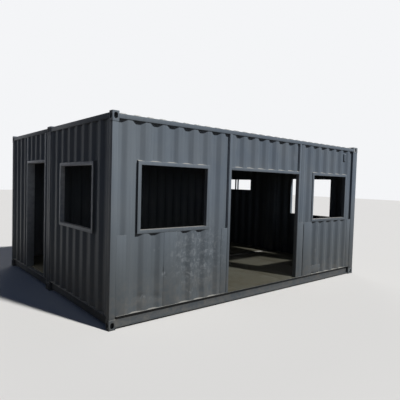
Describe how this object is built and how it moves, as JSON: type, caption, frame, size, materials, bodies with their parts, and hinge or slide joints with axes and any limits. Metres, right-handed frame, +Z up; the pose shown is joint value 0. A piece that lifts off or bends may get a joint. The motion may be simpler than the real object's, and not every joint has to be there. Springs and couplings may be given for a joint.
{
  "type": "shipping container cabin",
  "caption": "Site cabin made of joined steel container modules, with corrugated walls, an open double doorway, an end doorway and framed window openings.",
  "frame": {"origin": "middle of the footprint, at the foot of the corner blocks", "axes": "+X along the length towards the cast corners, -Y out of the front with the double doorway, +Z up"},
  "size_m": [6.096, 4.876, 2.896],
  "materials": {
    "slate_paint": "semi-gloss slate grey paint, scuffed",
    "underframe_paint": "dull black underbody coating",
    "floor_plywood": "worn grey-brown plywood"
  },
  "bodies": {
    "root": {"back_wall": "slate_paint", "front_bottom_side_rails": "slate_paint", "front_corner_posts": "slate_paint", "front_cross_members": "underframe_paint", "front_door_header": "slate_paint", "front_door_posts": "slate_paint", "front_end_rails": "slate_paint", "front_floor_boards": "floor_plywood", "front_infill_plates": "slate_paint", "front_left_corner_blocks": "slate_paint", "front_left_window_frame": "slate_paint", "front_right_corner_castings": "slate_paint", "front_right_window_frame": "slate_paint", "front_roof_sheet": "slate_paint", "front_top_side_rails": "slate_paint", "front_wall_left": "slate_paint", "front_wall_over_door": "slate_paint", "front_wall_right": "slate_paint", "front_wall_ventilator": "slate_paint", "left_door_header": "slate_paint", "left_door_posts": "slate_paint", "left_end_wall_front": "slate_paint", "left_end_wall_rear": "slate_paint", "left_end_window_frame": "slate_paint", "rear_bottom_side_rails": "slate_paint", "rear_corner_posts": "slate_paint", "rear_cross_members": "underframe_paint", "rear_end_rails": "slate_paint", "rear_floor_boards": "floor_plywood", "rear_left_corner_blocks": "slate_paint", "rear_right_corner_castings": "slate_paint", "rear_roof_sheet": "slate_paint", "rear_top_side_rails": "slate_paint", "right_end_wall_front": "slate_paint", "right_end_wall_rear": "slate_paint", "right_end_window_frame": "slate_paint", "right_high_window_frame": "slate_paint"}
  },
  "joints": []
}
